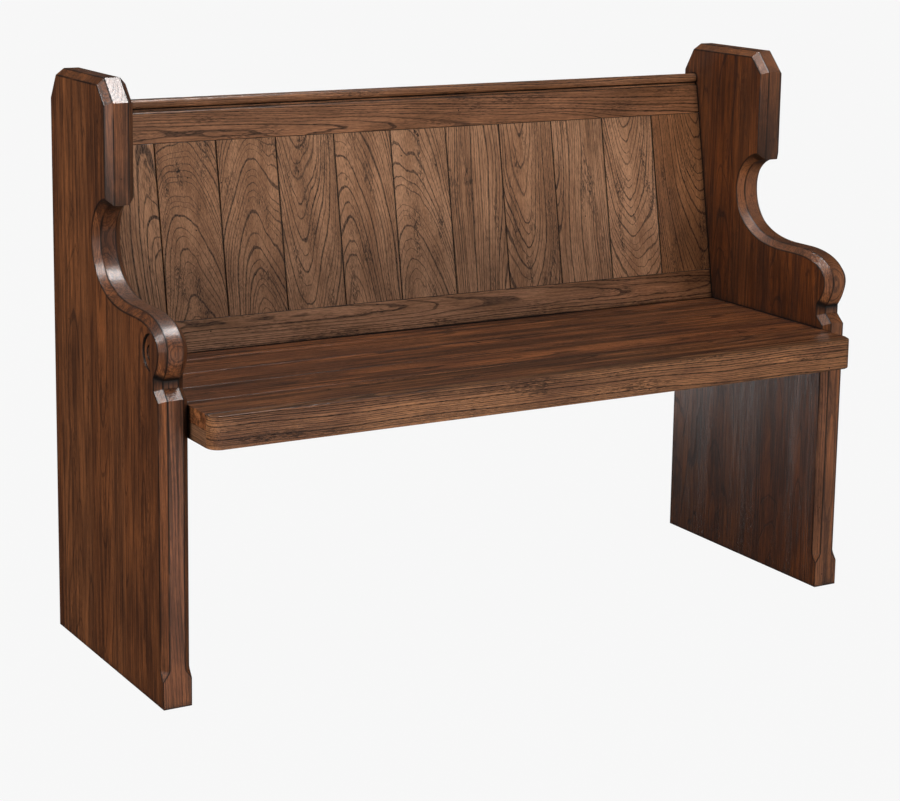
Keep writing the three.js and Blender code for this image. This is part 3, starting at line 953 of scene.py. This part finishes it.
def add_end_panels():
    for side, word, start, edge_painted_light in PANELS:
        node = f"end_panel_{word}"
        panel = end_panel(f"{node}_shaped", side)
        shade(panel, FACET_ANGLE)
        from_middle = np.abs(points_of(panel)[:, 0])
        inner_face = from_middle < INNER_HALF + FACE_SKIN
        outer_face = from_middle > OUTER_HALF - FACE_SKIN
        # The inner faces' tone is painted shade and the edges' tone is painted light.
        lay_grain(
            panel, (side * OUTER_HALF, 0, 0), Z_WAY, Y_WAY, pith=(side * 37.0, 0), slope=0.0, start=start,
            tone=np.where(inner_face, INNER_FACE_PAINTED_SHADE, np.where(outer_face, 0.0, edge_painted_light)),
        )
        finish_piece(panel, "end_panel_oak", node)


def add_back_boards():
    for i, (pith, slope, sway, tone) in enumerate(BOARD_FIGURES):
        node = f"back_board_{i + 1:02d}"
        board = from_cad(node, BOARD_EASE * MM)
        low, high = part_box(node)
        middle = ((low.x + high.x) / 2, low.y, (low.z + high.z) / 2)
        shade(board)
        lay_grain(board, middle, UP_SLOPE, X_WAY, pith, slope, sway, tone, start=900.0 * i)
        finish_piece(board, "back_board_oak", node)


# The rails carry painted light and shade: darker and redder towards their right ends, where the right panel
# shades them, and lighter at the bottom rail's left end: each one's left and right tone.
RAIL_LIGHT_AND_SHADE = (("back_bottom_rail", 3.4, -0.8), ("back_top_rail", -0.1, -1.4))


def add_rails():
    for i, (node, left_light_and_shade, right_painted_shade) in enumerate(RAIL_LIGHT_AND_SHADE):
        rail = from_cad(node, RAIL_EASE * MM)
        low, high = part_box(node)
        shade(rail)
        lay_grain(
            rail, (0, low.y, (low.z + high.z) / 2), X_WAY, UP_SLOPE, pith=(12 - 30 * i, 34), slope=0.015,
            sway=0.02, start=1300.0 * i,
            # The tone along each rail is painted light and shade.
            tone=np.interp(points_of(rail)[:, 0], (low.x, high.x), (left_light_and_shade, right_painted_shade)),
        )
        finish_piece(rail, "back_rail_oak", node)
    cap = back_cap()
    low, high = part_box("back_cap_rail")
    shade(cap)
    lay_grain(cap, (0, low.y, high.z), X_WAY, Y_WAY, pith=(15, 40), slope=0.01, start=5200.0, tone=-0.8)
    finish_piece(cap, "back_rail_oak", "back_cap_rail")


def add_seat():
    luck = np.random.default_rng(SEAT_SEED)
    for i in range(1, 6):
        node = f"seat_board_{i}"
        board = from_cad(node, SEAT_EASE * MM)
        low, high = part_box(node)
        shade(board)
        middle = (0, (low.y + high.y) / 2, high.z)
        lay_grain(
            board, middle, X_WAY, Y_WAY, pith=(luck.uniform(-40, 40), luck.uniform(25, 60)),
            slope=luck.uniform(-0.03, 0.03), sway=luck.uniform(-0.02, 0.02), tone=luck.uniform(-0.6, 0.6),
            start=luck.uniform(0, 9000),
        )
        finish_piece(board, "seat_oak", node)
    nosing = seat_nosing()
    low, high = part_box("seat_nosing")
    shade(nosing)
    lay_grain(
        nosing, (0, low.y, (low.z + high.z) / 2), X_WAY, Z_WAY, pith=(64, 16), slope=0.012, sway=0.01,
        start=7700.0, tone=1.4,
    )
    finish_piece(nosing, "seat_oak", "seat_nosing")


SEAT_SUPPORTS = (
    "seat_cleat_left", "seat_cleat_right", "seat_bearer_left", "seat_bearer_right", "seat_rear_rail",
)


def add_seat_supports():
    luck = np.random.default_rng(SUPPORT_SEED)
    for node in SEAT_SUPPORTS:
        piece = from_cad(node, SUPPORT_EASE * MM)
        low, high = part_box(node)
        shade(piece)
        way, across = (X_WAY, Z_WAY) if node == "seat_rear_rail" else (Y_WAY, X_WAY)
        lay_grain(
            piece, (low + high) / 2, way, across, pith=(luck.uniform(-30, 30), luck.uniform(20, 50)),
            slope=0.03, start=luck.uniform(0, 5000), tone=luck.uniform(-0.5, 0.5),
        )
        finish_piece(piece, "under_seat_oak", node)


def add_screws():
    for node in sorted(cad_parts):
        if "_screw_" in node:
            piece = screw(node)
            shade(piece)
            finish_piece(piece, "screw_steel", node)


# ---- stage, light and camera ----
def soft_light(name, place, aim, size, power, diffuse=True, glossy=True, spread=180):
    data = bpy.data.lights.new(name, "AREA")
    data.spread = math.radians(spread)
    data.shape = "RECTANGLE"
    data.size, data.size_y = size
    data.energy = power
    light = bpy.data.objects.new(name, data)
    light.location = place
    light.rotation_euler = (Vector(aim) - Vector(place)).to_track_quat("-Z", "Y").to_euler()
    light.visible_camera = False
    light.visible_diffuse = diffuse
    light.visible_glossy = glossy
    bpy.context.scene.collection.objects.link(light)


FLOOR_HALF = 40.0
FLOOR_DROP = 0.0006
FLOOR_GLOW = 0.931
WORLD_SHOWN = 0.93


def add_floor():
    """A pale floor that glows evenly, so that it takes no shadow, and lights nothing."""
    corners = np.array([(-1, -1, 0), (1, -1, 0), (1, 1, 0), (-1, 1, 0)]) * FLOOR_HALF
    floor = new_piece("floor", corners, [(0, 1, 2, 3)])
    floor.location.z = -FLOOR_DROP
    material = bpy.data.materials.new("pale_floor")
    t = Tree(material)
    shader = t.node(
        "ShaderNodeBsdfPrincipled",
        {"Base Color": (0.003, 0.003, 0.003, 1), "Roughness": 1.0, "Specular IOR Level": 0.0,
         "Emission Color": (1, 1, 1, 1), "Emission Strength": FLOOR_GLOW},
    )
    t.node("ShaderNodeOutputMaterial", {"Surface": shader.outputs[0]})
    floor.data.materials.append(material)
    floor.visible_glossy = False
    floor.visible_diffuse = False


def add_world():
    """Pale to the eye. As light it is dim: gloss comes from the front right, and fill from low in front."""
    world = bpy.data.worlds.new("studio")
    bpy.context.scene.world = world
    t = Tree(world)
    way = t.node("ShaderNodeTexCoord").outputs["Generated"]
    front_right = t.node("ShaderNodeVectorMath", {0: way, 1: (0.49, -0.86, 0.1)}, operation="DOT_PRODUCT")
    sheen = t.span(front_right.outputs["Value"], 0.1, 0.95, 0.03, 0.36, smooth=True)
    low_front = t.node("ShaderNodeVectorMath", {0: way, 1: (-0.1, -0.86, -0.5)}, operation="DOT_PRODUCT")
    fill = t.span(low_front.outputs["Value"], -0.2, 0.9, 0.12, 0.4, smooth=True)
    rays = t.node("ShaderNodeLightPath").outputs
    lit = t.node("ShaderNodeMix", {0: rays["Is Glossy Ray"], 2: fill, 3: sheen}).outputs[0]
    strength = t.node("ShaderNodeMix", {0: rays["Is Camera Ray"], 2: lit, 3: WORLD_SHOWN}).outputs[0]
    shown = t.node("ShaderNodeBackground", {"Color": (1, 1, 1, 1), "Strength": strength})
    t.node("ShaderNodeOutputWorld", {"Surface": shown.outputs[0]})


def add_lights():
    """Each light's place, aim, size and power. Each only lights surfaces or only shows in their gloss."""
    soft_light("shine", (-0.02, -0.14, 2.4), (-0.3, 0, 0.7), (1.0, 0.5), 52, diffuse=False)
    soft_light("overhead", (0.0, -0.9, 3.0), (0, 0, 0.4), (2.2, 1.6), 30, glossy=False)
    soft_light("left", (-3.0, -0.4, 1.1), (-0.3, 0, 0.5), (1.4, 1.4), 52, glossy=False)
    soft_light("left_shine", (-2.25, 0.0, 1.75), (-0.62, -0.18, 0.5), (0.7, 0.5), 24, diffuse=False)
    soft_light("front_right", (1.6, -3.0, 1.2), (0, 0, 0.5), (2.4, 1.8), 11, glossy=False)
    soft_light("rear", (0.6, 3.0, 1.5), (0, 0, 0.4), (2.4, 1.6), 34, glossy=False)
    soft_light("right", (0.95, -0.4, 1.5), (0.64, 0.0, 0.82), (0.3, 0.3), 0.07, glossy=False, spread=14)
    soft_light("low_rear_shine", (-0.15, 1.8, 0.12), (0.6, 0.0, 0.2), (0.8, 0.4), 0.75, diffuse=False,
               spread=50)
    soft_light("low_left_shine", (-2.7, -1.0, 0.75), (-0.64, -0.1, 0.75), (0.7, 0.7), 4, diffuse=False)
    soft_light("low_front", (-0.3, -1.15, 0.05), (-0.1, -0.1, 0.35), (2.4, 0.3), 16, glossy=False)


CAMERA_PLACE = (-1.8908, -3.1177, 1.2635)
CAMERA_YAW = 29.758
CAMERA_PITCH = -10.577
CAMERA_ROLL = 0.722
CAMERA_LENS = 90.19
CAMERA_SHIFT = (0.0333, -0.145)


def add_camera():
    data = bpy.data.cameras.new("camera")
    data.sensor_fit = "HORIZONTAL"
    data.sensor_width = 36
    data.lens = CAMERA_LENS
    data.shift_x, data.shift_y = CAMERA_SHIFT
    yaw, pitch, roll = (math.radians(angle) for angle in (CAMERA_YAW, CAMERA_PITCH, CAMERA_ROLL))
    ahead = Vector((math.sin(yaw) * math.cos(pitch), math.cos(yaw) * math.cos(pitch), math.sin(pitch)))
    right = Vector((math.cos(yaw), -math.sin(yaw), 0))
    up = right.cross(ahead)
    x_axis = math.cos(roll) * right + math.sin(roll) * up
    y_axis = -math.sin(roll) * right + math.cos(roll) * up
    camera = bpy.data.objects.new("camera", data)
    turned = Matrix((x_axis, y_axis, -ahead)).transposed().to_4x4()
    camera.matrix_world = Matrix.Translation(CAMERA_PLACE) @ turned
    bpy.context.scene.collection.objects.link(camera)
    bpy.context.scene.camera = camera


MATERIALS = {name: oak(name, values) for name, values in LOOKS.items()}
MATERIALS["screw_steel"] = steel("screw_steel")

add_camera()
add_world()
add_lights()
add_floor()
add_end_panels()
add_back_boards()
add_rails()
add_seat()
add_seat_supports()
add_screws()
bpy.context.scene.view_settings.view_transform = "Standard"
